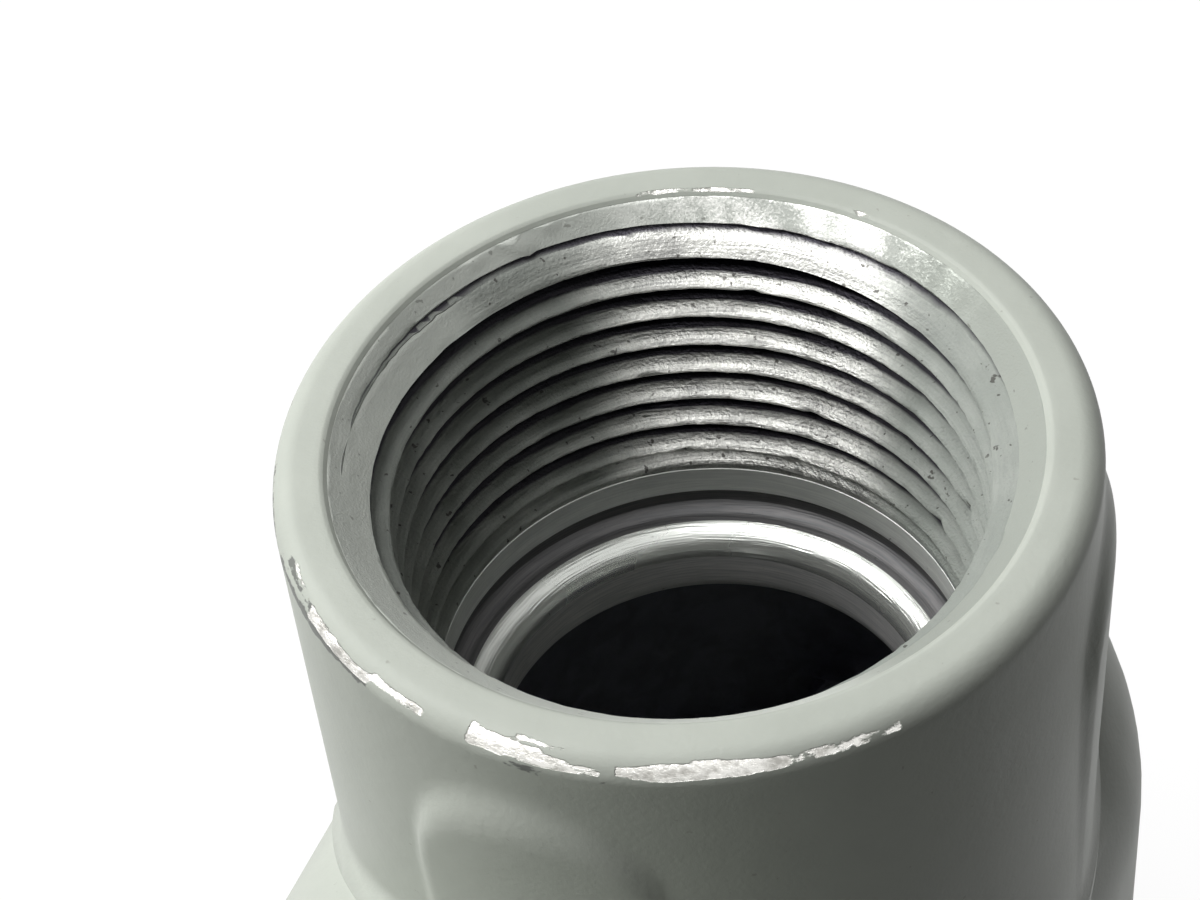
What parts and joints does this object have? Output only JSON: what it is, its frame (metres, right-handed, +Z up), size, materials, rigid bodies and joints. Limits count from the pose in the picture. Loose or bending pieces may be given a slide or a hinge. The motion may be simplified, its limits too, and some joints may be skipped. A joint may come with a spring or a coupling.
{
  "type": "right-angle conduit body",
  "caption": "Cast right-angle conduit body, grey painted: two threaded hubs at a right angle, with a screwed cover and gasket closing the long open side.",
  "frame": {"origin": "where the back hub's axis meets the plane that the cover's raised panel rests on", "axes": "+Z up the back hub's axis and out of it; -Y out of the end hub, so Y is the long axis; X across the body, which is symmetric about X = 0"},
  "size_m": [0.0448, 0.1339, 0.0677],
  "materials": {
    "casting": "satin grey paint on cast aluminium, threads bare",
    "cover": "satin grey paint",
    "gasket": "matt",
    "screws": "zinc plated"
  },
  "bodies": {
    "root": {"body": "casting", "cover": "cover", "gasket": "gasket", "cover_screw_end": "screws", "cover_screw_heel": "screws"}
  },
  "joints": []
}
